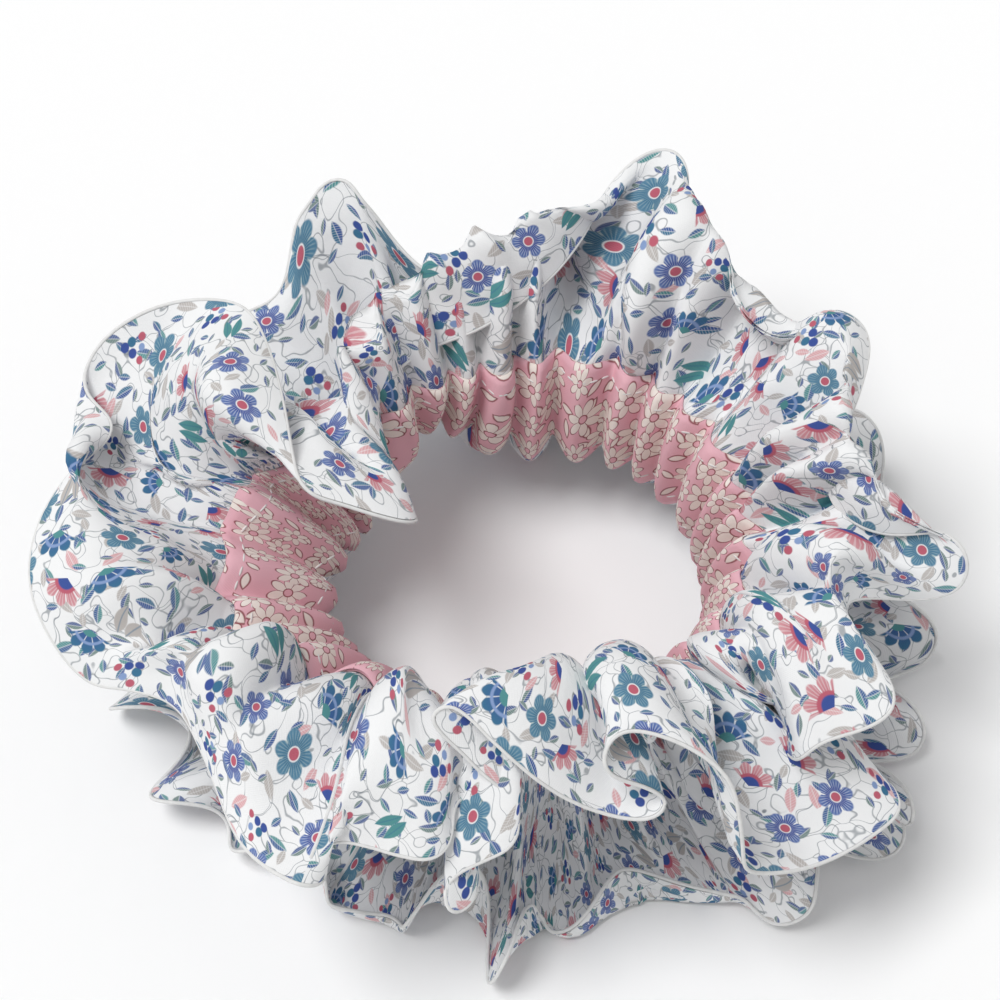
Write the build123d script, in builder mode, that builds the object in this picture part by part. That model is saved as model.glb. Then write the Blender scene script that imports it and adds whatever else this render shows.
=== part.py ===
from build123d import *
from math import cos, hypot, radians, sin
import os

# A scrunchie: a double-layer cotton strip, gathered along its middle by an elastic that runs
# in a casing on the hole-facing side. Millimetres, +Z up, hole axis on Z, lowest point at Z 0.

# Ruffle
ruffle_half_x = 82.0  # hem crest to the hole axis, along X
ruffle_half_y = 73.0  # hem crest to the hole axis, along Y
pleats = 12  # round pleats in each hem
sections = 48  # radial sections round the ring, 4 to a pleat
hem_rise = 20.9  # mean height of a hem above or below the middle
hem_wave = 8.5  # how far a hem swings above and below its mean
mid_z = hem_rise + hem_wave  # height of the elastic's centre line
hem_draw = 5.0  # how much nearer the axis a hem is between crests
cloth_t = 0.4
layer_gap = 0.1
bead_t = 0.6  # seam bead along a hem, past the back layer's edge
bead_gap = 0.05

# Casing and elastic
casing_r = 31.0  # hole radius at the casing
casing_half_h = 10.0
casing_turn = 3.0  # depth of the casing's turned-under edges
strip_r = 32.3  # hole side of the strip, where the casing is sewn on
channel_r = 33.2  # hole side of the strip, behind the elastic
channel_half_h = 4.4
elastic_r = 31.6
elastic_t = 0.6
elastic_half_h = 3.0
elastic_lap = 24.0  # degrees over which the elastic's ends overlap

# Stitching
seam_angle = 217.5  # where the ends of the strip and of the casing meet
stitch_count = 70
stitch_len = 1.9
stitch_w = 0.4
stitch_t = 0.2
stitch_z = 8.2  # casing stitching, above and below the middle
stitch_sink = 0.3  # depth the stitching pulls into the casing
closing_sink = 0.22
closing_t = 0.16
closing_half_h = 6.8
thread_t = 0.2
thread_gap = 0.2

os.makedirs("parts", exist_ok=True)


def radial_plane(angle):
    a = radians(angle)
    return Plane(origin=(0, 0, 0), x_dir=(cos(a), sin(a), 0), z_dir=(sin(a), -cos(a), 0))


def strip_line(angle, trim=0):
    # Upper half of the strip's hole side, as radius and height above the middle, with its hem
    # trimmed by the given length.
    a = radians(angle)
    wave = -cos(pleats * radians(angle - seam_angle))
    reach = 1 / hypot(cos(a) / ruffle_half_x, sin(a) / ruffle_half_y)
    hem_r = reach - hem_draw * (1 - wave) / 2
    hem_z = hem_rise + hem_wave * wave
    knee_r = strip_r + 0.34 * (hem_r - strip_r)
    knee_z = casing_half_h + 0.3 * (hem_z - casing_half_h)
    kept = 1 - trim / hypot(hem_r - knee_r, hem_z - knee_z)
    hem_r = knee_r + kept * (hem_r - knee_r)
    hem_z = knee_z + kept * (hem_z - knee_z)
    return [
        (channel_r, 0),
        (channel_r, channel_half_h),
        (strip_r, channel_half_h + 1.6),
        (strip_r, casing_half_h),
        (knee_r, knee_z),
        (hem_r, hem_z),
    ]


def moved_out(line, distance):
    # The line moved square to itself, away from the hole.
    ways = []
    for (r0, z0), (r1, z1) in zip(line, line[1:]):
        length = hypot(r1 - r0, z1 - z0)
        ways.append(((z1 - z0) / length, (r0 - r1) / length))
    moved = []
    for (r, z), (ar, az), (br, bz) in zip(line, [ways[0]] + ways, ways + [ways[-1]]):
        share = 1 + ar * br + az * bz
        moved.append((r + distance * (ar + br) / share, z + distance * (az + bz) / share))
    return moved


def mirrored(line):
    return [(r, -z) for r, z in line]


def layer_outline(angle, depth, trim):
    # One cloth layer in section, hem to hem, at a depth behind the strip's hole side.
    inner = moved_out(strip_line(angle, trim), depth)[1:]
    outer = moved_out(strip_line(angle, trim), depth + cloth_t)[1:]
    points = inner + outer[::-1] + mirrored(outer) + mirrored(inner[::-1])
    return [(r, mid_z + z) for r, z in points]


def bead_outline(angle, side):
    # The bead that closes one hem, past the back layer's edge. Side is 1 up, -1 down.
    depth = cloth_t + layer_gap
    points = []
    for trim, deep in [(bead_t, depth), (0, depth), (0, depth + cloth_t), (bead_t, depth + cloth_t)]:
        r, z = moved_out(strip_line(angle, trim), deep)[-1]
        points.append((r, mid_z + side * z))
    return points


def half_ring_angles():
    return [seam_angle + k * 360 / sections for k in range(sections // 2 + 1)]


# The cloth layer that faces the hole, hem to hem
with BuildPart() as face_half:
    for angle in half_ring_angles():
        with BuildSketch(radial_plane(angle)):
            with BuildLine():
                Polyline(*layer_outline(angle, 0, 0), close=True)
            make_face()
    loft(ruled=True)

with BuildPart() as face_cloth:
    add(face_half.part)
    add(face_half.part.rotate(Axis.Z, 180))
face_cloth.part.label = "face_cloth"
export_step(face_cloth.part, "parts/face_cloth.step")

# The cloth layer behind it
with BuildPart() as back_half:
    for angle in half_ring_angles():
        with BuildSketch(radial_plane(angle)):
            with BuildLine():
                Polyline(*layer_outline(angle, cloth_t + layer_gap, bead_t + bead_gap), close=True)
            make_face()
    loft(ruled=True)

with BuildPart() as back_cloth:
    add(back_half.part)
    add(back_half.part.rotate(Axis.Z, 180))
back_cloth.part.label = "back_cloth"
export_step(back_cloth.part, "parts/back_cloth.step")

# The seams that close the two hems
with BuildPart() as upper_bead_half:
    for angle in half_ring_angles():
        with BuildSketch(radial_plane(angle)):
            with BuildLine():
                Polyline(*bead_outline(angle, 1), close=True)
            make_face()
    loft(ruled=True)

with BuildPart() as hem_seam_upper:
    add(upper_bead_half.part)
    add(upper_bead_half.part.rotate(Axis.Z, 180))
hem_seam_upper.part.label = "hem_seam_upper"
export_step(hem_seam_upper.part, "parts/hem_seam_upper.step")

with BuildPart() as lower_bead_half:
    for angle in half_ring_angles():
        with BuildSketch(radial_plane(angle)):
            with BuildLine():
                Polyline(*bead_outline(angle, -1), close=True)
            make_face()
    loft(ruled=True)

with BuildPart() as hem_seam_lower:
    add(lower_bead_half.part)
    add(lower_bead_half.part.rotate(Axis.Z, 180))
hem_seam_lower.part.label = "hem_seam_lower"
export_step(hem_seam_lower.part, "parts/hem_seam_lower.step")

# The seam across the strip where its two ends meet, a line of thread on its hole side
with BuildPart() as strip_end_seam:
    with BuildSketch(radial_plane(seam_angle)):
        for side in [1, -1]:
            with BuildLine():
                near = moved_out(strip_line(seam_angle), -thread_gap)[3:]
                far = moved_out(strip_line(seam_angle), -thread_gap - thread_t)[3:]
                outline = [(r, mid_z + side * z) for r, z in near + far[::-1]]
                Polyline(*outline, close=True)
            make_face()
    extrude(amount=0.15, both=True)
strip_end_seam.part.label = "strip_end_seam"
export_step(strip_end_seam.part, "parts/strip_end_seam.step")

# The casing, a straight band with both long edges turned under towards the strip. Its stitching
# pulls into it a little.
with BuildPart() as casing_band:
    with BuildSketch(Plane.XZ):
        with Locations((casing_r + cloth_t / 2, mid_z)):
            Rectangle(cloth_t, 2 * casing_half_h)
        turned_z = casing_half_h - casing_turn / 2
        with Locations((casing_r + cloth_t, mid_z + turned_z), (casing_r + cloth_t, mid_z - turned_z)):
            Rectangle(2 * cloth_t, casing_turn)
    revolve(axis=Axis.Z)
    with BuildSketch(Plane.XZ):
        with Locations((casing_r, mid_z + stitch_z), (casing_r, mid_z - stitch_z)):
            Rectangle(2 * stitch_sink, stitch_w + 0.2)
    revolve(axis=Axis.Z, mode=Mode.SUBTRACT)
    with Locations(Location((0, 0, mid_z), (0, 0, seam_angle))):
        with Locations((casing_r, 0, 0)):
            Box(2 * closing_sink, stitch_w + 0.2, 2 * closing_half_h, mode=Mode.SUBTRACT)
casing_band.part.label = "casing_band"
export_step(casing_band.part, "parts/casing_band.step")

# The elastic, a flat loop whose ends overlap
with BuildPart() as elastic_loop:
    with BuildSketch(Plane.XZ):
        with Locations((elastic_r + elastic_t / 2, mid_z)):
            Rectangle(elastic_t, 2 * elastic_half_h)
    revolve(axis=Axis.Z)
    with BuildSketch(radial_plane(seam_angle - elastic_lap / 2)):
        with Locations((elastic_r + elastic_t * 1.25, mid_z)):
            Rectangle(elastic_t * 1.5, 2 * elastic_half_h)
    revolve(axis=Axis.Z, revolution_arc=elastic_lap)
elastic_loop.part.label = "elastic_loop"
export_step(elastic_loop.part, "parts/elastic_loop.step")

# Thread
lap_r = elastic_r + 2 * elastic_t

with BuildPart() as elastic_join_stitch:
    for turn in [-8, 0, 8]:
        with Locations(Location((0, 0, mid_z), (0, 0, seam_angle + turn))):
            with Locations((lap_r + 0.05 + thread_t / 2, 0, 0)):
                Box(thread_t, stitch_w, 1.6 * elastic_half_h)
elastic_join_stitch.part.label = "elastic_join_stitch"
export_step(elastic_join_stitch.part, "parts/elastic_join_stitch.step")

stitch_r = casing_r + 0.02 + stitch_t / 2

with BuildPart() as casing_stitch_upper:
    with Locations((0, 0, mid_z + stitch_z)):
        with PolarLocations(stitch_r, stitch_count):
            Box(stitch_t, stitch_len, stitch_w)
casing_stitch_upper.part.label = "casing_stitch_upper"
export_step(casing_stitch_upper.part, "parts/casing_stitch_upper.step")

with BuildPart() as casing_stitch_lower:
    with Locations((0, 0, mid_z - stitch_z)):
        with PolarLocations(stitch_r, stitch_count):
            Box(stitch_t, stitch_len, stitch_w)
casing_stitch_lower.part.label = "casing_stitch_lower"
export_step(casing_stitch_lower.part, "parts/casing_stitch_lower.step")

# The short row that closes the casing once the elastic is in
with BuildPart() as casing_closing_stitch:
    with Locations(Location((0, 0, mid_z), (0, 0, seam_angle))):
        for k in range(-2, 3):
            with Locations((casing_r + 0.02 + closing_t / 2, 0, k * 2.8)):
                Box(closing_t, stitch_w, stitch_len)
casing_closing_stitch.part.label = "casing_closing_stitch"
export_step(casing_closing_stitch.part, "parts/casing_closing_stitch.step")
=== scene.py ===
import math

import bmesh
import bpy
import numpy as np
from mathutils import Matrix, Vector


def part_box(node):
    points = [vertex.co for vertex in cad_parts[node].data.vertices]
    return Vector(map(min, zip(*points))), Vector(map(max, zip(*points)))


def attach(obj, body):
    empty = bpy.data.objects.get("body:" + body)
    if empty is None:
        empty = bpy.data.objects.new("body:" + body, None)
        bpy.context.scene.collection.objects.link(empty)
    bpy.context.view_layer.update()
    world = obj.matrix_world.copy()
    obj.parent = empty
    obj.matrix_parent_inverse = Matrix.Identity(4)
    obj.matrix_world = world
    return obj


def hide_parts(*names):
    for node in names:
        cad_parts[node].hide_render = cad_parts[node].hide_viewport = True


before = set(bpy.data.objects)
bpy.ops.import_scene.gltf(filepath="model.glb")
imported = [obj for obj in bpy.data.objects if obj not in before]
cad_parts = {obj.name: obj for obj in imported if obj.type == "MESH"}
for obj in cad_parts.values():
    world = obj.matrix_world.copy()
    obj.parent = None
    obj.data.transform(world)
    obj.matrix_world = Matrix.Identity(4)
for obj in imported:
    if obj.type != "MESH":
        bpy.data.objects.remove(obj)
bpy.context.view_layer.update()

# Camera
cameraSet = {
    "distance": 0.45,
    "elevation": 57,
    "lens": 92.34,
    "aim": (-0.0044, 0.0091, 0.0353),
}


def addCamera(values):
    data = bpy.data.cameras.new("camera")
    camera = bpy.data.objects.new("camera", data)
    bpy.context.scene.collection.objects.link(camera)
    bpy.context.scene.camera = camera
    tilt = math.radians(values["elevation"])
    back = Vector((0, -math.cos(tilt), math.sin(tilt))) * values["distance"]
    camera.location = Vector(values["aim"]) + back
    camera.rotation_euler = (math.pi / 2 - tilt, 0, 0)
    data.lens = values["lens"]
    data.sensor_width = 36
    data.clip_start = 0.01


addCamera(cameraSet)
print("camera set")


# Where the hole and the casing are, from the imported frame
casingLow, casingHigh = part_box("casing_band")
ringHeight = (casingLow[2] + casingHigh[2]) / 2
ringRadius = (casingHigh[0] - casingLow[0]) / 2
casingHalf = (casingHigh[2] - casingLow[2]) / 2 + 0.001

ruffle = {
    "length": 0.74,  # of the flat strip, assumed
    "wing": 0.038,  # from the casing's edge to a hem, on the flat
    "columns": 320,  # while it is laid out; then three times as many
    "wingRows": 14,
    "bandRows": 9,
    "ringWide": 1.02,  # the elastic lies a little oval
    "ringDeep": 0.98,
    "pleats": 32,  # gathers round the casing
    "pleatDepth": 0.0057,
    "channel": 0.0014,  # room for the elastic between the strip and the casing
    "layerGap": 0.0005,
    "beadRadius": 0.00034,
    "seamRadius": 0.0004,
    "lowerWaves": 27,  # added to the lower hem
    "waveSize": 0.0046,
    "relaxPasses": 120,
    "columnsTimes": 3,
    "rowsTimes": 2,
    "floorRest": 0.001,  # where cloth lies on the floor
    "floorLow": 0.004,  # where it starts to bend over
}
ruffle["fineBandRows"] = ruffle["rowsTimes"] * (ruffle["bandRows"] - 1) + 1

# The big folds of the upper wing: place and width as shares of the strip, clockwise from its end
# seam, and depth in metres, positive where the cloth sinks away from the hole
folds = [
    (0.012, 0.016, 0.006), (0.076, 0.018, 0.009), (0.098, 0.014, -0.004), (0.12, 0.016, 0.009),
    (0.27, 0.018, 0.0095), (0.355, 0.014, 0.004), (0.394, 0.013, 0.022), (0.42, 0.014, -0.005),
    (0.455, 0.016, 0.013), (0.493, 0.016, 0.008), (0.551, 0.016, 0.009), (0.604, 0.014, 0.006),
    (0.723, 0.016, 0.006),
]

# The two hems in millimetres, clockwise from the strip's end seam
upperHem = [
    (-35, -71, 50), (-45, -62, 46), (-52, -46, 44), (-58, -35, 42), (-67, -31, 40),
    (-73, -29, 38), (-79, -23, 42), (-83, -14, 46), (-82, -3, 48), (-77, 6, 50), (-71, 14, 50),
    (-77, 24, 47), (-75, 31, 50), (-68, 35, 54), (-59, 37, 56), (-49, 33, 60), (-44, 23, 62),
    (-41, 12, 62), (-39, 2, 60), (-37, -4, 58), (-31, -5, 56), (-23, -7, 54), (-18, -6, 51),
    (-21, 2, 46), (-26, 18, 44), (-25, 28, 45), (-17, 34, 47), (-8, 36, 50), (3, 44, 52),
    (10, 53, 54), (14, 61, 56), (20, 66, 60), (26, 67, 62), (29, 62, 62), (29, 55, 60),
    (29, 52, 58), (33, 47, 55), (39, 38, 52), (43, 34, 50), (48, 31, 50), (51, 35, 54),
    (54, 34, 58), (58, 30, 59), (59, 25, 58), (56, 15, 56), (52, 6, 54), (51, -1, 52),
    (56, -7, 52), (62, -9, 53), (69, -9, 54), (73, -13, 52), (72, -16, 46), (65, -16, 43),
    (59, -16, 44), (53, -19, 48), (53, -27, 52), (56, -34, 55), (58, -40, 56), (58, -43, 54),
    (53, -45, 52), (46, -46, 50), (43, -48, 47), (42, -42, 40), (45, -40, 34), (53, -41, 32),
    (59, -43, 32), (62, -49, 32), (57, -54, 33), (49, -59, 34), (42, -62, 36), (35, -64, 40),
    (34, -64, 44), (33, -62, 52), (31, -58, 60), (26, -55, 64), (20, -53, 66), (14, -52, 66),
    (11, -55, 64), (12, -57, 60), (18, -57, 56), (22, -58, 52), (19, -60, 50), (13, -59, 50),
    (6, -58, 54), (0, -56, 59), (-6, -52, 63), (-11, -48, 66), (-15, -48, 65), (-14, -50, 62),
    (-10, -52, 58), (-7, -54, 55), (-3, -56, 52), (-1, -60, 49), (-3, -63, 46), (-8, -64, 43),
    (-13, -66, 40), (-13, -70, 37), (-10, -69, 35), (-8, -65, 36), (-9, -60, 40), (-10, -55, 48),
    (-11, -55, 50), (-12, -59, 48), (-12, -62, 46), (-15, -65, 46), (-20, -64, 46),
    (-28, -62, 47), (-32, -63, 48), (-32, -64, 47), (-31, -68, 46),
]
lowerHem = [
    (-60, -37, 5), (-64, -24, 8), (-73, -10, 4), (-77, 4, 10), (-76, 25, 4), (-70, 33, 12),
    (-62, 48, 10), (-50, 55, 26), (-42, 67, 38), (-37, 75, 44), (-34, 75, 45), (-28, 68, 41),
    (-20, 63, 34), (-9, 56, 25), (0, 61, 12), (10, 77, 4), (21, 71, 12), (34, 73, 3),
    (42, 57, 12), (52, 55, 4), (62, 40, 14), (68, 29, 12), (69, 20, 8), (67, 8, 14), (69, 0, 12),
    (71, -4, 6), (69, -14, 4), (64, -27, 5), (63, -38, 12), (69, -41, 8), (67, -42, 4),
    (59, -43, 3), (49, -50, 10), (47, -55, 7), (43, -58, 3), (38, -54, 1), (30, -49, 4),
    (20, -51, 3), (6, -54, 2), (2, -59, 8), (-3, -67, 6), (-6, -62, 2), (-7, -56, 8),
    (-13, -55, 14), (-18, -56, 10), (-22, -58, 5), (-28, -58, 2), (-32, -54, 4), (-35, -50, 10),
    (-46, -44, 6),
]


def blurLoop(values, share):
    # soften values along a closed loop, share being the blur's width as a part of the loop
    waves = np.fft.rfft(values, axis=0)
    fade = np.exp(-2 * (math.pi * share * np.arange(len(waves))) ** 2)
    fade = fade.reshape((-1,) + (1,) * (np.ndim(values) - 1))
    return np.fft.irfft(waves * fade, len(values), axis=0)


def evenLoop(line, count):
    # even steps along a closed line
    steps = np.linalg.norm(np.roll(line, -1, 0) - line, axis=1)
    along = np.concatenate([[0], np.cumsum(steps)])
    closed = np.vstack([line, line[:1]])
    at = np.linspace(0, along[-1], count, endpoint=False)
    return np.stack([np.interp(at, along, closed[:, k]) for k in range(3)], axis=1)


def smoothHem(points, count):
    # a smooth closed line through a hem's points, in metres
    p = np.array(points, float) / 1000
    t = np.linspace(0, 1, 16, endpoint=False)[:, None]
    line = []
    for k in range(len(p)):
        a, b, c, d = p[k - 1], p[k], p[(k + 1) % len(p)], p[(k + 2) % len(p)]
        bend = (2 * a - 5 * b + 4 * c - d) * t**2 + (3 * b - a - 3 * c + d) * t**3
        line.append(b + ((c - a) * t + bend) / 2)
    line = evenLoop(np.concatenate(line), count)
    return evenLoop(blurLoop(line, 0.0022), count)


def nearAngle(angle, middle, width):
    # 1 at one angle round the ring, falling to 0 away from it
    away = np.angle(np.exp(1j * (angle - math.radians(middle)))) / math.radians(width)
    return np.exp(-(away**2))


def addWaves(hem, waves, size):
    # even in-and-out waves along a hem
    turn = 2 * math.pi * np.arange(len(hem)) / len(hem)
    phase = waves * turn + 1.5 * np.sin(3 * turn)
    swing = size * (0.8 + 0.3 * np.sin(5 * turn))
    swing *= 1 - 0.85 * nearAngle(np.arctan2(hem[:, 1], hem[:, 0]), 116, 15)
    out = hem / np.linalg.norm(hem[:, :2], axis=1, keepdims=True)
    out[:, 2] = 0
    moved = hem + out * (swing * np.sin(phase))[:, None]
    moved[:, 2] += swing * 0.8 * np.cos(phase) + 0.001
    return moved


def rootAngles(hem):
    # the angle round the ring at which each step of a hem is rooted, clockwise
    count = len(hem)
    angle = np.unwrap(np.arctan2(hem[:, 1], hem[:, 0]))
    even = angle[0] - 2 * math.pi * np.arange(count) / count
    return even + blurLoop(angle - even, 0.065)


def nearShare(share, middle, width):
    # 1 at one place along the strip, falling to 0 away from it
    away = (share - middle + 0.5) % 1 - 0.5
    return np.exp(-((away / width) ** 2))


def bandPoint(angle, height):
    # a point of the band without its gathers, height running from -1 to 1 across it; the elastic
    # rolls the band, so its upper edge lies further out, most of all at the left, but further in
    # at the back's left
    roll = 0.004 + 0.013 * nearAngle(angle, 192, 38) - 0.012 * nearAngle(angle, 118, 20)
    rise = np.sqrt((2 * casingHalf) ** 2 - roll**2) / 2
    drift = 0.0007 * np.sin(3 * angle + 2) + 0.0005 * np.sin(7 * angle)
    radius = ringRadius + 0.0052 + np.maximum(roll, 0) * (height + 1) / 2
    radius = radius - np.minimum(roll, 0) * (1 - height) / 2 - 0.0012 * (1 - height**2)
    x = radius * np.cos(angle) * ruffle["ringWide"]
    y = radius * np.sin(angle) * ruffle["ringDeep"]
    return np.stack([x, y, ringHeight + drift + rise * height], axis=-1)


def wingPath(edge, way, hem, length, bulge):
    # a curve from the casing's edge out to a hem, at every step along the strip
    reach = np.linalg.norm(hem - edge, axis=1, keepdims=True)
    out = (hem - edge) / reach
    lift = way * length * (0.25 + bulge)
    back = out * 0.25 * length - way * 0.6 * bulge * length
    t = np.linspace(0, 1, 60)[:, None, None]
    return (
        (1 - t) ** 3 * edge
        + 3 * (1 - t) ** 2 * t * (edge + lift)
        + 3 * (1 - t) * t**2 * (hem - back)
        + t**3 * hem
    )


def wingRows(edge, way, hem, rows, length):
    # the bulge that gives each curve the cloth's own length, found by halving
    low, high = np.zeros((len(edge), 1)), np.full((len(edge), 1), 1.6)
    for turn in range(12):
        bulge = (low + high) / 2
        path = wingPath(edge, way, hem, length, bulge)
        steps = np.linalg.norm(np.diff(path, axis=0), axis=2)
        long = (steps.sum(0) > length)[:, None]
        high = np.where(long, bulge, high)
        low = np.where(long, low, bulge)
    bulge = blurLoop(bulge, 0.006)
    path = wingPath(edge, way, hem, length, bulge)
    steps = np.linalg.norm(np.diff(path, axis=0), axis=2)
    along = np.concatenate([np.zeros((1, len(edge))), np.cumsum(steps, axis=0)])
    share = np.linspace(0, 1, rows)
    result = np.empty((rows, len(edge), 3))
    for column in range(len(edge)):
        at = share * along[-1, column]
        for k in range(3):
            result[:, column, k] = np.interp(at, along[:, column], path[:, column, k])
    return result


def layStrip(values):
    # the band and the two wings out to their hems, before the cloth settles
    count = values["columns"]
    upper = smoothHem(upperHem, count)
    angle = rootAngles(upper)
    lower = smoothHem(lowerHem, count * 4)
    lower = addWaves(lower, values["lowerWaves"], values["waveSize"])
    lowerAngle = rootAngles(lower)
    turns = np.concatenate([lowerAngle + 2 * math.pi, lowerAngle, lowerAngle - 2 * math.pi])
    three = np.vstack([lower, lower, lower])
    order = np.argsort(turns)
    lower = np.stack([np.interp(angle, turns[order], three[order, k]) for k in range(3)], axis=1)
    heights = np.linspace(-1, 1, values["bandRows"])
    band = np.stack([bandPoint(angle, h) for h in heights])
    outward = np.stack([np.cos(angle), np.sin(angle), np.zeros(count)], axis=1)
    up = np.array([0, 0, 1.0])
    sag = nearShare(np.arange(count) / count, 0.163, 0.03)[:, None]
    front = nearAngle(angle, 282, 48)[:, None]
    upWay = (0.45 + 0.5 * sag - 0.62 * front) * outward + (0.9 - 1.1 * sag + 0.1 * front) * up
    downWay = 0.6 * outward - 0.8 * up
    rows, wing = values["wingRows"], values["wing"]
    top = wingRows(band[-1], upWay, upper, rows, wing)
    bottom = wingRows(band[0], downWay, lower, rows, wing)
    return np.concatenate([bottom[:0:-1], band, top[1:]])


def loopNormals(points):
    # the sheet's normals, towards the hole
    along = np.roll(points, -1, 1) - np.roll(points, 1, 1)
    across = np.gradient(points, axis=0)
    normal = np.cross(along, across)
    return normal / (np.linalg.norm(normal, axis=2, keepdims=True) + 1e-12)


def pleatBulge(sheet, values):
    # the gathers round the ring, from about 0 in a crease to 1 on a fold's crest
    middle = sheet[len(sheet) // 2]
    angle = np.unwrap(np.arctan2(middle[:, 1], middle[:, 0]))
    phase = values["pleats"] * angle + 1.1 * np.sin(2 * angle + 1) + 1.3 * np.sin(7 * angle)
    size = 0.85 + 0.15 * np.sin(5 * angle + 0.5)
    return np.sqrt(np.sin(phase / 2) ** 2 + 0.012) * size * values["pleatDepth"]


def pleatField(sheet, values):
    # how far the gathers push each point towards the hole, fading out along the wings; behind
    # the elastic they go the other way
    rows = len(sheet)
    wing = (rows - values["fineBandRows"]) / 2
    row = np.arange(rows)
    away = np.clip(np.maximum(wing - row, row - (rows - 1 - wing)) / wing, 0, 1)
    fade = np.clip(1 - away / 0.88, 0, 1) ** 1.1
    grow = 1 + 1.6 * np.clip(away / 0.35, 0, 1)
    halfBand = (values["fineBandRows"] - 1) / 2
    height = np.clip(np.abs(row - (rows - 1) / 2) / halfBand, 0, 1)
    turn = -0.5 + 1.5 * height**2 * (3 - 2 * height)
    return (turn * fade * grow)[:, None] * pleatBulge(sheet, values)


def foldField(sheet, values):
    # the upper wing's big folds, which fade out at the casing and at the hem
    rows, count = sheet.shape[:2]
    wing = (rows - values["fineBandRows"]) / 2
    away = np.clip((np.arange(rows) - (rows - 1 - wing)) / wing, 0, 1)
    share = np.arange(count) / count
    depth = sum(-size * nearShare(share, at, width) for at, width, size in folds)
    return (np.sin(math.pi * away**0.85) * (1 - 0.3 * away))[:, None] * depth


def pull(sheet, first, second, rest, stiffness, weight):
    # move two sets of points along the line between them towards their distance at rest
    gap = sheet[second] - sheet[first]
    size = np.linalg.norm(gap, axis=-1, keepdims=True) + 1e-9
    total = weight[first] + weight[second] + 1e-9
    move = gap * (stiffness * (size - rest) / size / total)
    sheet[first] += move * weight[first]
    sheet[second] -= move * weight[second]


def relaxStrip(sheet, values, passes):
    # let the cloth settle to its own length and width, held at the band and led by its hems
    rows, count = sheet.shape[:2]
    start = sheet.copy()
    wingRows, bandRows = values["wingRows"], values["bandRows"]
    row = np.arange(rows)
    out = np.clip(np.maximum(wingRows - 1 - row, row - (wingRows + bandRows - 2)), 0, None)
    out = out / (wingRows - 1)
    weight = np.where(out > 0, 1.0, 0.0)[:, None, None] * np.ones((1, count, 1))
    step = values["wing"] / (wingRows - 1)
    gathered = np.linalg.norm(np.roll(start, -1, 1) - start, axis=2, keepdims=True)
    ease = np.clip(out / 0.75, 0, 1)[:, None, None]
    ease = ease * ease * (3 - 2 * ease)
    edge = np.where(row < rows / 2, wingRows - 1, rows - wingRows)
    along = gathered[edge] * (1 - ease) + values["length"] / count * ease
    along = np.clip(along, 0.97 * gathered, 1.06 * gathered)
    across = np.full((rows - 1, count, 1), step)
    across[wingRows - 1 : rows - wingRows] = 0
    slanted = np.sqrt(along[:-1] ** 2 + step**2)
    hemRows = np.zeros((rows, 1, 1))
    hemRows[[0, -1]] = 0.35
    everywhere = slice(None)
    for turn in range(passes):
        for parity in (0, 1):
            a = (everywhere, np.arange(parity, count, 2))
            b = (everywhere, (np.arange(parity, count, 2) + 1) % count)
            pull(sheet, a, b, along[:, a[1]], 0.9, weight)
            lowRows, highRows = slice(0, rows - 1), slice(1, rows)
            for one, other in ((lowRows, highRows), (highRows, lowRows)):
                pull(sheet, (one, a[1]), (other, b[1]), slanted[:, a[1]], 0.15, weight)
            r = np.arange(parity, rows - 1, 2)
            loose = r[(out[r] > 0) | (out[r + 1] > 0)]
            pull(sheet, (loose,), (loose + 1,), step, 0.9, weight)
        for parity in (0, 2):
            c = np.concatenate([np.arange(parity, count, 4), np.arange(parity + 1, count, 4)])
            d = (c + 2) % count
            first, second = (everywhere, c), (everywhere, d)
            gap = sheet[second] - sheet[first]
            size = np.linalg.norm(gap, axis=-1, keepdims=True) + 1e-9
            short = np.minimum(size - 1.94 * along[:, c], 0)
            move = gap * (0.25 * short / size)
            sheet[first] += move * weight[first] / 2
            sheet[second] -= move * weight[second] / 2
        sheet += (start - sheet) * hemRows
    move = blurLoop((sheet - start).transpose(1, 0, 2), 0.006).transpose(1, 0, 2)
    for turn in range(2):
        move[1:-1] = (move[:-2] + 2 * move[1:-1] + move[2:]) / 4
    return start + move


def finer(sheet, columnsTimes, rowsTimes):
    # the same sheet with more columns and rows, smoothly in between
    waves = np.fft.rfft(sheet, axis=1)
    count = sheet.shape[1]
    sheet = np.fft.irfft(waves, count * columnsTimes, axis=1) * columnsTimes
    padded = np.concatenate([2 * sheet[:1] - sheet[1:2], sheet, 2 * sheet[-1:] - sheet[-2:-1]])
    rows = []
    for k in range(len(sheet) - 1):
        a, b, c, d = padded[k : k + 4]
        for t in np.arange(rowsTimes) / rowsTimes:
            bend = (2 * a - 5 * b + 4 * c - d) * t**2 + (3 * b - a - 3 * c + d) * t**3
            rows.append(b + ((c - a) * t + bend) / 2)
    rows.append(sheet[-1])
    return np.array(rows)


def restOnFloor(sheet, values):
    # cloth that would sink is laid on the floor, bending over softly
    rest, low = values["floorRest"], values["floorLow"]
    z = sheet[:, :, 2]
    laid = rest + (low - rest) * np.exp(np.minimum(z - low, 0) / (low - rest))
    sheet[:, :, 2] = np.where(z < low, laid, z)
    return sheet


plain = relaxStrip(layStrip(ruffle), ruffle, ruffle["relaxPasses"])
plain = finer(plain, ruffle["columnsTimes"], ruffle["rowsTimes"])
towards = loopNormals(plain)
for turn in range(3):
    towards[1:-1] = (towards[:-2] + towards[1:-1] + towards[2:]) / 3
towards = blurLoop(towards.transpose(1, 0, 2), 0.0025).transpose(1, 0, 2)
towards /= np.linalg.norm(towards, axis=2, keepdims=True)
plain = plain + towards * foldField(plain, ruffle)[:, :, None]
gather = pleatField(plain, ruffle)[:, :, None]
strip = restOnFloor(plain + towards * gather, ruffle)
print("strip laid, relaxed and gathered")


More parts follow.
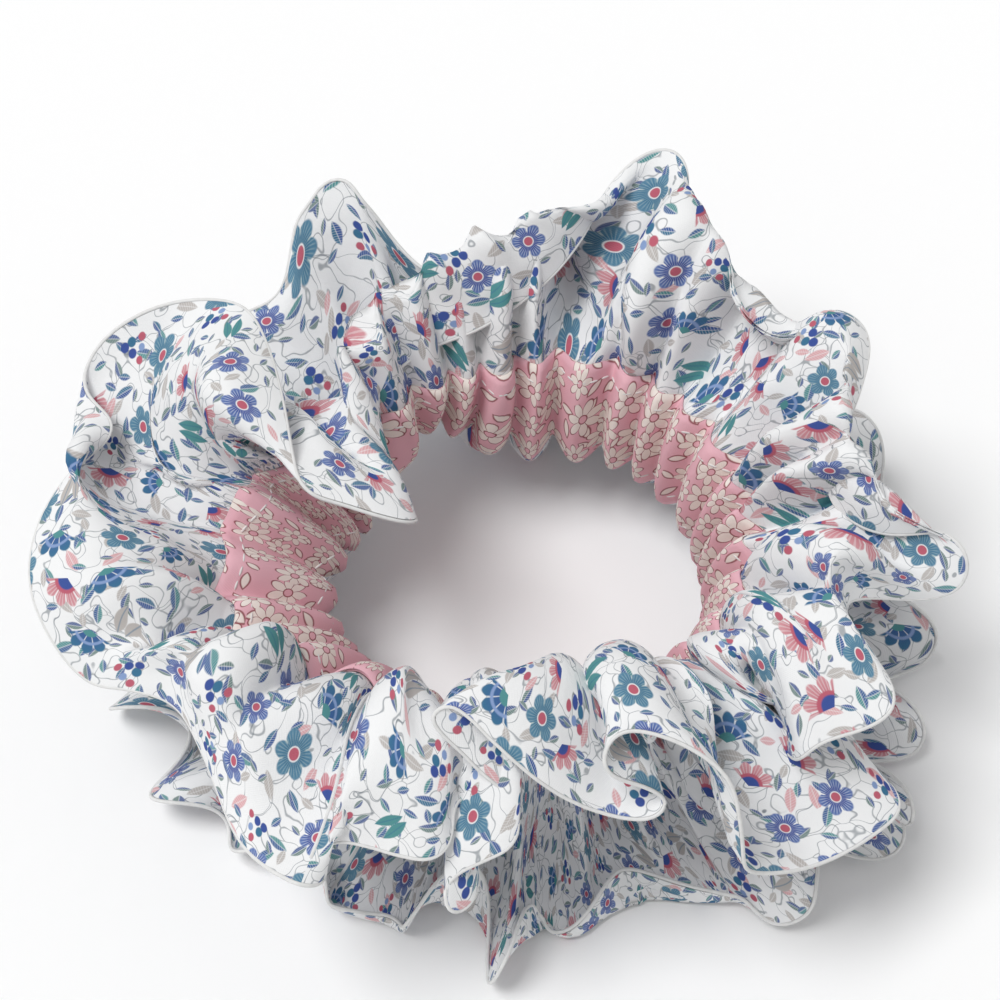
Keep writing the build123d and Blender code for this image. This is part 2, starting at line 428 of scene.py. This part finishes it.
def gridPiece(name, points, size, flip=False, closed=True):
    # a sheet of rows and columns; the last column closes the ring on the first, and the UV map
    # "cloth" holds metres on the flat cloth
    if closed:
        points = np.concatenate([points, points[:, :1]], axis=1)
    rows, columns = points.shape[:2]
    made = bmesh.new()
    bmesh.ops.create_grid(made, x_segments=columns - 1, y_segments=rows - 1, size=1)
    made.verts.ensure_lookup_table()
    uvs = made.loops.layers.uv.new("cloth")
    flat = points.reshape(-1, 3)
    for vert in made.verts:
        vert.co = flat[vert.index]
    for face in made.faces:
        for loop in face.loops:
            row, column = divmod(loop.vert.index, columns)
            loop[uvs].uv = (column / (columns - 1) * size[0], row / (rows - 1) * size[1])
        face.smooth = True
    if flip:
        bmesh.ops.reverse_faces(made, faces=made.faces)
    return finishPiece(name, made)


def finishPiece(name, made):
    mesh = bpy.data.meshes.new(name)
    made.to_mesh(mesh)
    made.free()
    piece = bpy.data.objects.new(name, mesh)
    bpy.context.scene.collection.objects.link(piece)
    return piece


def tubePiece(name, line, radius, sides=8, closed=True):
    # a thin tube along a line, round the whole ring where it is closed
    if closed:
        ahead = np.roll(line, -1, 0) - np.roll(line, 1, 0)
    else:
        ahead = np.gradient(line, axis=0)
    ahead /= np.linalg.norm(ahead, axis=1, keepdims=True) + 1e-12
    side = np.cross(ahead, [0.13, 0.21, 0.97])
    side /= np.linalg.norm(side, axis=1, keepdims=True) + 1e-12
    other = np.cross(ahead, side)
    turn = 2 * math.pi * np.arange(sides) / sides
    ring = [line + radius * (math.cos(a) * side + math.sin(a) * other) for a in turn]
    ring = np.array(ring + ring[:1])
    if closed:
        ring = np.concatenate([ring, ring[:, :1]], axis=1)
    around, along = ring.shape[:2]
    made = bmesh.new()
    bmesh.ops.create_grid(made, x_segments=along - 1, y_segments=around - 1, size=1)
    flat = ring.reshape(-1, 3)
    made.verts.ensure_lookup_table()
    for vert in made.verts:
        vert.co = flat[vert.index]
    bmesh.ops.remove_doubles(made, verts=made.verts, dist=radius * 0.02)
    if not closed:
        bmesh.ops.holes_fill(made, edges=[e for e in made.edges if e.is_boundary])
    bmesh.ops.recalc_face_normals(made, faces=made.faces)
    for face in made.faces:
        face.smooth = True
    return finishPiece(name, made)


def stitchPiece(name, starts, ends, normals, thickness):
    # short rounded stitches, each from its start to its end
    made = bmesh.new()
    for start, end, normal in zip(starts, ends, normals):
        ahead = Vector(end - start)
        length = ahead.length
        ahead.normalize()
        across = Vector(normal).cross(ahead).normalized()
        lift = ahead.cross(across)
        place = Matrix((ahead, across, lift)).transposed().to_4x4()
        place.translation = Vector((start + end) / 2)
        size = Matrix.Diagonal((length / 2, thickness * 0.7, thickness / 2, 1))
        bmesh.ops.create_icosphere(made, subdivisions=2, radius=1, matrix=place @ size)
    for face in made.faces:
        face.smooth = True
    return finishPiece(name, made)


# Materials
def addNode(tree, kind, inputs=(), **settings):
    # a node with its settings, and its inputs linked or set in order
    node = tree.nodes.new(kind)
    for key, value in settings.items():
        setattr(node, key, value)
    for index, value in enumerate(inputs):
        if value is None:
            continue
        if isinstance(value, bpy.types.NodeSocket):
            tree.links.new(value, node.inputs[index])
        else:
            node.inputs[index].default_value = value
    return node


def calc(tree, operation, a, b=0.0, c=0.0):
    return addNode(tree, "ShaderNodeMath", (a, b, c), operation=operation).outputs[0]


def soft(tree, value, edge, width):
    # 1 where the value is under an edge, fading over the width
    steps = (value, edge - width / 2, edge + width / 2, 1.0, 0.0)
    node = addNode(tree, "ShaderNodeMapRange", steps, interpolation_type="SMOOTHSTEP")
    return node.outputs[0]


def blend(tree, share, under, over):
    node = addNode(tree, "ShaderNodeMix", data_type="RGBA")
    for socket, value in ((node.inputs[0], share), (node.inputs[6], under), (node.inputs[7], over)):
        if isinstance(value, bpy.types.NodeSocket):
            tree.links.new(value, socket)
        else:
            socket.default_value = value
    return node.outputs[2]


def newGroup(name, inputs, outputs):
    group = bpy.data.node_groups.new(name, "ShaderNodeTree")
    for label, kind in inputs:
        group.interface.new_socket(label, in_out="INPUT", socket_type=kind)
    for label, kind in outputs:
        group.interface.new_socket(label, in_out="OUTPUT", socket_type=kind)
    entry = group.nodes.new("NodeGroupInput")
    leave = group.nodes.new("NodeGroupOutput")
    return group, entry.outputs, leave.inputs


def spread(tree, x, y):
    # how far a point is from the middle
    squares = calc(tree, "ADD", calc(tree, "MULTIPLY", x, x), calc(tree, "MULTIPLY", y, y))
    return calc(tree, "SQRT", squares)


def scatterGroup():
    # scattered places: millimetres across and up from each place's middle, turned at random
    group, given, out = newGroup(
        "scatter",
        [("Place", "NodeSocketVector"), ("Cell", "NodeSocketFloat"), ("Shift", "NodeSocketVector")],
        [("X", "NodeSocketFloat"), ("Y", "NodeSocketFloat"), ("R", "NodeSocketFloat"),
         ("Angle", "NodeSocketFloat"), ("Pick", "NodeSocketFloat"), ("Tone", "NodeSocketFloat")],
    )
    t = group
    cells = addNode(t, "ShaderNodeVectorMath", (given[0],), operation="SCALE")
    t.links.new(calc(t, "DIVIDE", 1000.0, given[1]), cells.inputs[3])
    moved = addNode(t, "ShaderNodeVectorMath", (cells.outputs[0], given[2]), operation="ADD")
    spots = addNode(t, "ShaderNodeTexVoronoi", voronoi_dimensions="2D", feature="F1")
    t.links.new(moved.outputs[0], spots.inputs["Vector"])
    spots.inputs["Scale"].default_value = 1
    spots.inputs["Randomness"].default_value = 0.55
    ends = (moved.outputs[0], spots.outputs["Position"])
    away = addNode(t, "ShaderNodeVectorMath", ends, operation="SUBTRACT")
    random = addNode(t, "ShaderNodeSeparateColor", (spots.outputs["Color"],))
    turned = addNode(t, "ShaderNodeVectorRotate", rotation_type="Z_AXIS")
    t.links.new(away.outputs[0], turned.inputs["Vector"])
    t.links.new(calc(t, "MULTIPLY", random.outputs[0], 6.2832), turned.inputs["Angle"])
    parts = addNode(t, "ShaderNodeSeparateXYZ", (turned.outputs[0],))
    size = calc(t, "MULTIPLY", calc(t, "MULTIPLY_ADD", random.outputs[2], -0.38, 1.16), given[1])
    x = calc(t, "MULTIPLY", parts.outputs[0], size)
    y = calc(t, "MULTIPLY", parts.outputs[1], size)
    r = spread(t, x, y)
    t.links.new(x, out[0])
    t.links.new(y, out[1])
    t.links.new(r, out[2])
    t.links.new(calc(t, "ARCTAN2", y, x), out[3])
    t.links.new(random.outputs[1], out[4])
    t.links.new(random.outputs[2], out[5])
    return group


def between(tree, value, low, high):
    # 1 where a random value falls between two others
    above = calc(tree, "GREATER_THAN", value, low)
    return calc(tree, "MULTIPLY", above, calc(tree, "LESS_THAN", value, high))


def petals(tree, angle, radius, count, reach, deep, wide=0.35):
    # a flower's mask, and how far a point is from its petals' middle lines
    wave = calc(tree, "ABSOLUTE", calc(tree, "COSINE", calc(tree, "MULTIPLY", angle, count / 2)))
    edge = calc(tree, "MULTIPLY_ADD", wave, deep * reach, (1 - deep) * reach)
    mask = soft(tree, calc(tree, "SUBTRACT", radius, edge), 0.0, wide)
    return mask, wave


def leafMask(tree, x, y, length, wide):
    # a pointed leaf lying along x from the middle of its place
    along = calc(tree, "DIVIDE", x, length)
    shape = calc(tree, "SUBTRACT", 1.0, calc(tree, "MULTIPLY", along, along))
    half = calc(tree, "MULTIPLY", shape, wide)
    over = calc(tree, "SUBTRACT", calc(tree, "ABSOLUTE", y), half)
    return soft(tree, over, 0.0, 0.25)


def dotMask(tree, x, y, at, radius):
    dx = calc(tree, "SUBTRACT", x, at[0])
    dy = calc(tree, "SUBTRACT", y, at[1])
    return soft(tree, spread(tree, dx, dy), radius, 0.22)


meadow = {
    "ground": (0.86, 0.865, 0.87, 1),
    "cobalt": (0.05, 0.09, 0.32, 1),
    "sky": (0.24, 0.34, 0.58, 1),
    "teal": (0.05, 0.17, 0.29, 1),
    "sea": (0.09, 0.28, 0.29, 1),
    "leaf": (0.16, 0.24, 0.23, 1),
    "taupe": (0.5, 0.47, 0.45, 1),
    "coral": (0.5, 0.12, 0.17, 1),
    "blush": (0.7, 0.4, 0.42, 1),
    "stem": (0.11, 0.14, 0.17, 1),
    "flowerCell": 9.6,
    "leafCell": 5.1,
    "dotCell": 4.3,
}


def meadowGroup(values, scatter):
    # a plain mixed-flower print: five-petalled and fan flowers, berries, leaves and curly stems
    group, given, out = newGroup(
        "meadow", [("Place", "NodeSocketVector")], [("Color", "NodeSocketColor")]
    )
    t = group
    place = given[0]

    def places(cell, shift):
        node = addNode(t, "ShaderNodeGroup", node_tree=scatter)
        t.links.new(place, node.inputs[0])
        node.inputs[1].default_value = cell
        node.inputs[2].default_value = shift
        return node.outputs

    color = values["ground"]
    # curly stems: the bent lines between places
    for cell, shift, wide in ((8.3, (0, 0, 0), 0.014), (11.7, (3.3, 7.1, 0), 0.01)):
        bend = addNode(t, "ShaderNodeTexNoise", noise_dimensions="2D")
        t.links.new(place, bend.inputs["Vector"])
        bend.inputs["Scale"].default_value = 210
        bend.inputs["Detail"].default_value = 0.5
        bent = addNode(t, "ShaderNodeVectorMath", (bend.outputs[1],), operation="SCALE")
        bent.inputs[3].default_value = 0.011
        moved = addNode(t, "ShaderNodeVectorMath", (place, bent.outputs[0]), operation="ADD")
        cells = addNode(t, "ShaderNodeVectorMath", (moved.outputs[0],), operation="SCALE")
        cells.inputs[3].default_value = 1000 / cell
        moved = addNode(t, "ShaderNodeVectorMath", (cells.outputs[0], shift), operation="ADD")
        edges = {"voronoi_dimensions": "2D", "feature": "DISTANCE_TO_EDGE"}
        lines = addNode(t, "ShaderNodeTexVoronoi", **edges)
        t.links.new(moved.outputs[0], lines.inputs["Vector"])
        lines.inputs["Scale"].default_value = 1
        line = soft(t, lines.outputs["Distance"], wide, 0.022)
        color = blend(t, calc(t, "MULTIPLY", line, 0.62), color, values["stem"])
    # small leaves
    for cell, shift, length, wide in (
        (values["leafCell"], (0, 0, 0), 1.9, 0.72),
        (values["dotCell"], (9.3, 4.1, 0), 1.25, 0.55),
    ):
        x, y, r, angle, pick, tone = places(cell, shift)
        mask = leafMask(t, x, y, length, wide)
        mask = calc(t, "MULTIPLY", mask, calc(t, "LESS_THAN", pick, 0.84))
        shade = blend(t, calc(t, "GREATER_THAN", tone, 0.4), values["leaf"], values["teal"])
        shade = blend(t, calc(t, "GREATER_THAN", tone, 0.62), shade, values["sea"])
        shade = blend(t, calc(t, "GREATER_THAN", tone, 0.78), shade, values["taupe"])
        shade = blend(t, calc(t, "GREATER_THAN", tone, 0.92), shade, values["blush"])
        # the lower half of most leaves is bluer, with fine hatching
        half = calc(t, "MULTIPLY", calc(t, "LESS_THAN", y, 0.0), calc(t, "LESS_THAN", tone, 0.78))
        shade = blend(t, calc(t, "MULTIPLY", half, 0.75), shade, values["cobalt"])
        hatch = calc(t, "SINE", calc(t, "MULTIPLY_ADD", x, 17.0, calc(t, "MULTIPLY", y, 12.0)))
        hatch = calc(t, "MULTIPLY", calc(t, "GREATER_THAN", hatch, 0.55), 0.3)
        shade = blend(t, hatch, shade, values["ground"])
        rib = soft(t, calc(t, "ABSOLUTE", y), 0.07, 0.1)
        shade = blend(t, calc(t, "MULTIPLY", rib, 0.45), shade, values["ground"])
        color = blend(t, mask, color, shade)
    # flowers and berries
    x, y, r, angle, pick, tone = places(values["flowerCell"], (5.2, 1.7, 0))
    grain = calc(t, "SINE", calc(t, "MULTIPLY", angle, 34.0))
    # round flower
    mask, wave = petals(t, angle, r, 6, 3.1, 0.3)
    chosen = between(t, pick, -1, 0.3)
    far = calc(t, "DIVIDE", r, 3.1)
    paling = calc(t, "MULTIPLY_ADD", grain, 0.18, calc(t, "MULTIPLY", far, 0.55))
    shade = blend(t, paling, values["cobalt"], values["sky"])
    shade = blend(t, soft(t, wave, 0.16, 0.16), shade, values["ground"])
    shade = blend(t, soft(t, r, 1.7, 0.5), shade, values["cobalt"])
    streak = calc(t, "MULTIPLY", calc(t, "GREATER_THAN", grain, 0.5), soft(t, far, 0.85, 0.2))
    shade = blend(t, calc(t, "MULTIPLY", streak, 0.3), shade, values["ground"])
    greener = calc(t, "MULTIPLY", calc(t, "GREATER_THAN", tone, 0.55), 0.55)
    shade = blend(t, greener, shade, values["sea"])
    shade = blend(t, soft(t, r, 0.95, 0.2), shade, values["ground"])
    shade = blend(t, soft(t, r, 0.78, 0.2), shade, values["coral"])
    color = blend(t, calc(t, "MULTIPLY", mask, chosen), color, shade)
    # fan flowers, in pink and in blue
    lowered = calc(t, "ADD", y, 1.6)
    fanR = spread(t, x, lowered)
    fanAngle = calc(t, "ARCTAN2", x, lowered)
    mask, wave = petals(t, fanAngle, fanR, 10, 4.3, 0.24)
    mask = calc(t, "MULTIPLY", mask, soft(t, calc(t, "ABSOLUTE", fanAngle), 1.12, 0.1))
    streak = soft(t, wave, 0.2, 0.2)
    far = calc(t, "DIVIDE", fanR, 4.3)
    pinkFan = blend(t, calc(t, "MULTIPLY", far, 0.7), values["coral"], values["blush"])
    pinkFan = blend(t, calc(t, "MULTIPLY", streak, 0.8), pinkFan, values["ground"])
    line = calc(t, "GREATER_THAN", calc(t, "SINE", calc(t, "MULTIPLY", fanAngle, 40.0)), 0.4)
    pinkFan = blend(t, calc(t, "MULTIPLY", line, 0.3), pinkFan, values["ground"])
    pinkFan = blend(t, soft(t, fanR, 2.3, 0.3), pinkFan, values["coral"])
    pinkFan = blend(t, soft(t, fanR, 1.7, 0.3), pinkFan, values["cobalt"])
    color = blend(t, calc(t, "MULTIPLY", mask, between(t, pick, 0.3, 0.5)), color, pinkFan)
    blueFan = blend(t, far, values["cobalt"], values["teal"])
    blueFan = blend(t, calc(t, "MULTIPLY", streak, 0.7), blueFan, values["ground"])
    arc = soft(t, calc(t, "ABSOLUTE", calc(t, "SUBTRACT", fanR, 2.6)), 0.25, 0.3)
    blueFan = blend(t, arc, blueFan, values["sky"])
    blueFan = blend(t, soft(t, fanR, 1.4, 0.3), blueFan, values["sea"])
    color = blend(t, calc(t, "MULTIPLY", mask, between(t, pick, 0.5, 0.67)), color, blueFan)
    # pairs of big leaves
    slant = calc(t, "ADD", calc(t, "MULTIPLY", x, 0.15), calc(t, "ABSOLUTE", y))
    mask = leafMask(t, x, calc(t, "SUBTRACT", slant, 1.0), 3.0, 0.95)
    shade = blend(t, calc(t, "GREATER_THAN", tone, 0.5), values["sea"], values["taupe"])
    rib = soft(t, calc(t, "ABSOLUTE", calc(t, "SUBTRACT", slant, 1.0)), 0.1, 0.12)
    shade = blend(t, calc(t, "MULTIPLY", rib, 0.5), shade, values["teal"])
    color = blend(t, calc(t, "MULTIPLY", mask, between(t, pick, 0.67, 0.82)), color, shade)
    # berries
    chosen = between(t, pick, 0.82, 1.1)
    for at, size, name in (
        ((-0.9, 0.2), 0.78, "cobalt"), ((0.8, 0.5), 0.78, "teal"), ((0.0, 1.7), 0.78, "cobalt"),
        ((-1.9, -1.3), 0.66, "coral"), ((1.7, -1.3), 0.66, "coral"), ((0.1, -1.5), 0.6, "sky"),
    ):
        mask = dotMask(t, x, y, at, size)
        color = blend(t, calc(t, "MULTIPLY", mask, chosen), color, values[name])
    t.links.new(color, out[0])
    return group


blossom = {
    "ground": (0.8, 0.46, 0.52, 1),
    "cream": (0.87, 0.79, 0.73, 1),
    "line": (0.27, 0.07, 0.08, 1),
    "cell": 6.3,
    "smallCell": 4.0,
}


def blossomGroup(values, scatter):
    # outlined cream blossoms and small leaves on pink
    group, given, out = newGroup(
        "blossom", [("Place", "NodeSocketVector")], [("Color", "NodeSocketColor")]
    )
    t = group

    def places(cell, shift):
        node = addNode(t, "ShaderNodeGroup", node_tree=scatter)
        t.links.new(given[0], node.inputs[0])
        node.inputs[1].default_value = cell
        node.inputs[2].default_value = shift
        return node.outputs

    color = values["ground"]
    x, y, r, angle, pick, tone = places(values["smallCell"], (4.4, 2.2, 0))
    chosen = calc(t, "LESS_THAN", pick, 0.6)
    outer = leafMask(t, x, y, 1.75, 0.75)
    inner = leafMask(t, x, y, 1.45, 0.52)
    color = blend(t, calc(t, "MULTIPLY", outer, chosen), color, values["line"])
    color = blend(t, calc(t, "MULTIPLY", inner, chosen), color, values["cream"])
    x, y, r, angle, pick, tone = places(values["cell"], (1.3, 6.1, 0))
    chosen = calc(t, "LESS_THAN", pick, 0.85)
    outer, wave = petals(t, angle, r, 7, 3.1, 0.5, 0.2)
    inner, wave = petals(t, angle, r, 7, 2.88, 0.53, 0.2)
    color = blend(t, calc(t, "MULTIPLY", outer, chosen), color, values["line"])
    petal = blend(t, soft(t, wave, 0.13, 0.12), values["cream"], values["line"])
    petal = blend(t, soft(t, r, 0.75, 0.1), petal, values["line"])
    petal = blend(t, soft(t, r, 0.58, 0.1), petal, values["ground"])
    color = blend(t, calc(t, "MULTIPLY", inner, chosen), color, petal)
    t.links.new(color, out[0])
    return group


def weaveGroup():
    # a plain weave with a few soft wrinkles, as a height
    group, given, out = newGroup(
        "weave", [("Place", "NodeSocketVector")], [("Height", "NodeSocketFloat")]
    )
    t = group
    parts = addNode(t, "ShaderNodeSeparateXYZ", (given[0],))
    warp = calc(t, "SINE", calc(t, "MULTIPLY", parts.outputs[0], 15000.0))
    weft = calc(t, "SINE", calc(t, "MULTIPLY", parts.outputs[1], 15000.0))
    threads = calc(t, "MULTIPLY", calc(t, "MULTIPLY", warp, weft), 0.06)
    crumple = addNode(t, "ShaderNodeTexNoise", noise_dimensions="2D")
    t.links.new(given[0], crumple.inputs["Vector"])
    crumple.inputs["Scale"].default_value = 170
    crumple.inputs["Detail"].default_value = 3
    t.links.new(calc(t, "ADD", threads, crumple.outputs[0]), out[0])
    return group


def clothMaterial(name, printGroup, weave):
    material = bpy.data.materials.new(name)
    material.use_nodes = True
    t = material.node_tree
    shader = t.nodes["Principled BSDF"]
    uv = addNode(t, "ShaderNodeUVMap", uv_map="cloth").outputs[0]
    figure = addNode(t, "ShaderNodeGroup", node_tree=printGroup)
    t.links.new(uv, figure.inputs[0])
    t.links.new(figure.outputs[0], shader.inputs["Base Color"])
    shader.inputs["Roughness"].default_value = 0.85
    shader.inputs["Specular IOR Level"].default_value = 0.25
    height = addNode(t, "ShaderNodeGroup", node_tree=weave)
    t.links.new(uv, height.inputs[0])
    bump = t.nodes.new("ShaderNodeBump")
    bump.inputs["Strength"].default_value = 0.5
    bump.inputs["Distance"].default_value = 0.0005
    t.links.new(height.outputs[0], bump.inputs["Height"])
    t.links.new(bump.outputs[0], shader.inputs["Normal"])
    return material


def plainMaterial(name, color, roughness):
    material = bpy.data.materials.new(name)
    material.use_nodes = True
    t = material.node_tree
    shader = t.nodes["Principled BSDF"]
    place = addNode(t, "ShaderNodeTexCoord").outputs["Object"]
    noise = addNode(t, "ShaderNodeTexNoise")
    t.links.new(place, noise.inputs["Vector"])
    noise.inputs["Scale"].default_value = 900
    darker = tuple(0.8 * part for part in color[:3]) + (1,)
    t.links.new(blend(t, noise.outputs[0], color, darker), shader.inputs["Base Color"])
    shader.inputs["Roughness"].default_value = roughness
    shader.inputs["Specular IOR Level"].default_value = 0.25
    return material


scatter = scatterGroup()
weave = weaveGroup()
meadowPrint = meadowGroup(meadow, scatter)
meadowCotton = clothMaterial("printed_cotton", meadowPrint, weave)
meadowBack = clothMaterial("printed_cotton_back", meadowPrint, weave)
blossomCotton = clothMaterial("pink_cotton", blossomGroup(blossom, scatter), weave)
whiteThread = plainMaterial("white_thread", (0.85, 0.84, 0.82, 1), 0.7)
rimThread = plainMaterial("rim_thread", (0.84, 0.84, 0.83, 1), 0.8)
rubber = plainMaterial("elastic_white", (0.78, 0.77, 0.74, 1), 0.8)
print("materials made")


def keep(piece, material, body, nodes):
    # dress a piece, hang it under its body and hide the imported parts it replaces
    piece.data.materials.append(material)
    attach(piece, body)
    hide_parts(*nodes)
    return piece


# The two cotton layers of the ruffle
width = 2 * ruffle["wing"] + 2 * casingHalf
rows = len(strip)
bandRow = ruffle["rowsTimes"] * (ruffle["wingRows"] - 1)
bandPart = slice(bandRow, rows - bandRow)
flatSize = (ruffle["length"], width)
face = gridPiece("face_cloth_ruffle", strip, flatSize)
keep(face, meadowCotton, "root", ["face_cloth"])
back = gridPiece("back_cloth_ruffle", strip - towards * ruffle["layerGap"], flatSize, True)
keep(back, meadowBack, "root", ["back_cloth"])
print("ruffle made")

# The hem seams' rims and the strip's end seam
for name, row, node in (
    ("hem_rim_upper", -1, "hem_seam_upper"),
    ("hem_rim_lower", 0, "hem_seam_lower"),
):
    inner = strip[row] - strip[row - 1 if row else 1]
    inner /= np.linalg.norm(inner, axis=1, keepdims=True)
    line = strip[row] - towards[row] * ruffle["layerGap"] / 2 + inner * ruffle["beadRadius"] * 0.9
    rim = tubePiece(name, line, ruffle["beadRadius"])
    keep(rim, rimThread, "root", [node])
seamLine = strip[3:-3, 0] - towards[3:-3, 0] * ruffle["layerGap"] / 2
seam = tubePiece("end_seam", seamLine, ruffle["seamRadius"], closed=False)
keep(seam, rimThread, "root", ["strip_end_seam"])
print("seams made")

# The casing, with the room for the elastic in it
casingSet = {
    "length": 0.5,  # of its flat strip, assumed shorter than the ruffle's
    "stitchPitch": 0.0026,
    "stitchLength": 0.0018,
    "stitchThickness": 0.00032,
    "edge": 0.0005,
    "seat": 0.00012,
    "stitchLift": 0.0001,
    "turnRows": 2,  # about 3 mm
    "stitchRow": 0.74,  # height of the topstitching, 1 being the casing's edge
}
heights = np.linspace(-1, 1, rows - 2 * bandRow)[:, None, None]
puff = casingSet["edge"] + ruffle["channel"] * (1 - heights**4)
crest = pleatBulge(plain, ruffle)[:, None]
casing = plain[bandPart] + towards[bandPart] * (crest + puff)
# its edges are turned under, between it and the strip
under = plain[bandPart] + towards[bandPart] * (crest + casingSet["seat"])
turned = casingSet["turnRows"]
folded = np.concatenate([under[turned::-1], casing, under[: -turned - 2 : -1]])
casingWide = 2 * casingHalf * (1 + 2 * turned / (len(casing) - 1))
band = gridPiece("casing_cloth", folded, (casingSet["length"], casingWide))
keep(band, blossomCotton, "root", ["casing_band"])
bandTowards = towards[bandPart]


def rowAt(sheet, height):
    # a line round a band at a height from -1 to 1
    at = (height + 1) / 2 * (len(sheet) - 1)
    low = min(int(at), len(sheet) - 2)
    return sheet[low] * (low + 1 - at) + sheet[low + 1] * (at - low)


def runningStitches(line, normals, values):
    # where each stitch of a row round the casing starts and ends
    closed = np.vstack([line, line[:1]])
    turned = np.vstack([normals, normals[:1]])
    steps = np.linalg.norm(np.diff(closed, axis=0), axis=1)
    along = np.concatenate([[0], np.cumsum(steps)])
    count = int(along[-1] / values["stitchPitch"])
    begin = np.arange(count) * along[-1] / count
    ends = begin + values["stitchLength"]

    def at(where, what):
        return np.stack([np.interp(where, along, what[:, k]) for k in range(3)], axis=1)

    lift = at(begin, turned) * values["stitchThickness"] * 0.15
    return at(begin, closed) + lift, at(ends, closed) + lift, at(begin, turned)


# its lapped end, a little longer than the casing is wide
lapSet = {
    "columns": 26,
    "length": 0.02,
    "lift": 0.0007,
    "sink": 0.00025,
    "past": 0.0009,
    "thickness": 0.0003,
}
lap = (casing + bandTowards * lapSet["lift"])[:, : lapSet["columns"]]
slant = np.linspace(0, 1, lapSet["columns"])[None, :, None]
for edge, inside in ((0, 1), (-1, -2)):
    past = lap[edge] - lap[inside]
    lap[edge] += past / np.linalg.norm(past, axis=1)[:, None] * lapSet["past"]
lap = lap - bandTowards[:, : lapSet["columns"]] * lapSet["sink"] * slant
lapEnd = gridPiece("casing_lap", lap, (lapSet["length"], 2 * casingHalf), closed=False)
body = lapEnd.modifiers.new("thickness", "SOLIDIFY")
body.thickness = lapSet["thickness"]
keep(lapEnd, blossomCotton, "root", ["casing_band"])

for name, height, node in (
    ("topstitch_upper", casingSet["stitchRow"], "casing_stitch_upper"),
    ("topstitch_lower", -casingSet["stitchRow"], "casing_stitch_lower"),
):
    stitches = runningStitches(rowAt(casing, height), rowAt(bandTowards, height), casingSet)
    row = stitchPiece(name, *stitches, casingSet["stitchThickness"])
    keep(row, whiteThread, "root", [node])
closing = lap[2:-2, 3] + bandTowards[2:-2, 3] * casingSet["stitchLift"]
near, far = closing[:-1:2], closing[1::2]
closingTowards = bandTowards[2:-3:2, 0]
closingRow = stitchPiece("casing_closing", near, far, closingTowards, casingSet["stitchThickness"])
keep(closingRow, whiteThread, "root", ["casing_closing_stitch"])
print("casing made")

# The elastic, lying smooth in the casing
elasticSet = {
    "half": 0.28,  # height of its edge, 1 being the casing's edge
    "lift": 0.00055,
    "thickness": 0.0005,
    "lap": 0.05,  # share of the ring at which its ends are joined
    "flat": (0.2, 0.014),
    "stitchThickness": 0.0003,
}
levels = np.linspace(-elasticSet["half"], elasticSet["half"], 5)
smoothBand = plain[bandPart]
low = np.stack([rowAt(smoothBand, h) + rowAt(bandTowards, h) * elasticSet["lift"] for h in levels])
high = low + np.stack([rowAt(bandTowards, h) for h in levels]) * elasticSet["thickness"]
loopRows = np.concatenate([low, high[::-1], low[:1]])
elastic = gridPiece("elastic_ring", loopRows, elasticSet["flat"])
keep(elastic, rubber, "root", ["elastic_loop"])
lapColumn = int(elasticSet["lap"] * strip.shape[1])
lift = bandTowards[len(bandTowards) // 2, lapColumn] * casingSet["stitchLift"]
across = high[:, lapColumn] + lift
joinTowards = bandTowards[4:8, lapColumn]
joinSet = (across[:-1], across[1:], joinTowards, elasticSet["stitchThickness"])
joinRow = stitchPiece("elastic_join", *joinSet)
keep(joinRow, whiteThread, "root", ["elastic_join_stitch"])
print("elastic made")


# Floor, light and white background
def addFloor(size):
    made = bmesh.new()
    bmesh.ops.create_grid(made, x_segments=1, y_segments=1, size=size)
    mesh = bpy.data.meshes.new("floor")
    made.to_mesh(mesh)
    made.free()
    floor = bpy.data.objects.new("floor", mesh)
    bpy.context.scene.collection.objects.link(floor)
    return floor


studio = {
    "floor": (0.96, 0.96, 0.96, 1),
    "sky": 0.5,
    "sun": 1.85,
    "sunFrom": (-0.38, -0.08, 0.9),
    "sunSize": 26,
    "cameraSky": 0.97,
    "floorSize": 3,
}
floor = addFloor(studio["floorSize"])
pale = bpy.data.materials.new("pale_floor")
pale.use_nodes = True
paleShader = pale.node_tree.nodes["Principled BSDF"]
paleShader.inputs["Base Color"].default_value = studio["floor"]
paleShader.inputs["Roughness"].default_value = 1
paleShader.inputs["Specular IOR Level"].default_value = 0
floor.data.materials.append(pale)
world = bpy.data.worlds.new("studio")
bpy.context.scene.world = world
world.use_nodes = True
sky = world.node_tree.nodes["Background"]
sky.inputs["Color"].default_value = (1, 1, 1, 1)
seen = addNode(world.node_tree, "ShaderNodeLightPath").outputs["Is Camera Ray"]
brighter = studio["cameraSky"] - studio["sky"]
lift = calc(world.node_tree, "MULTIPLY_ADD", seen, brighter, studio["sky"])
world.node_tree.links.new(lift, sky.inputs["Strength"])
lamp = bpy.data.lights.new("daylight", "SUN")
lamp.energy = studio["sun"]
lamp.angle = math.radians(studio["sunSize"])
lampObject = bpy.data.objects.new("daylight", lamp)
lampObject.location = studio["sunFrom"]
lampObject.rotation_euler = (-Vector(studio["sunFrom"])).to_track_quat("-Z", "Y").to_euler()
bpy.context.scene.collection.objects.link(lampObject)
bpy.context.scene.view_settings.view_transform = "Standard"
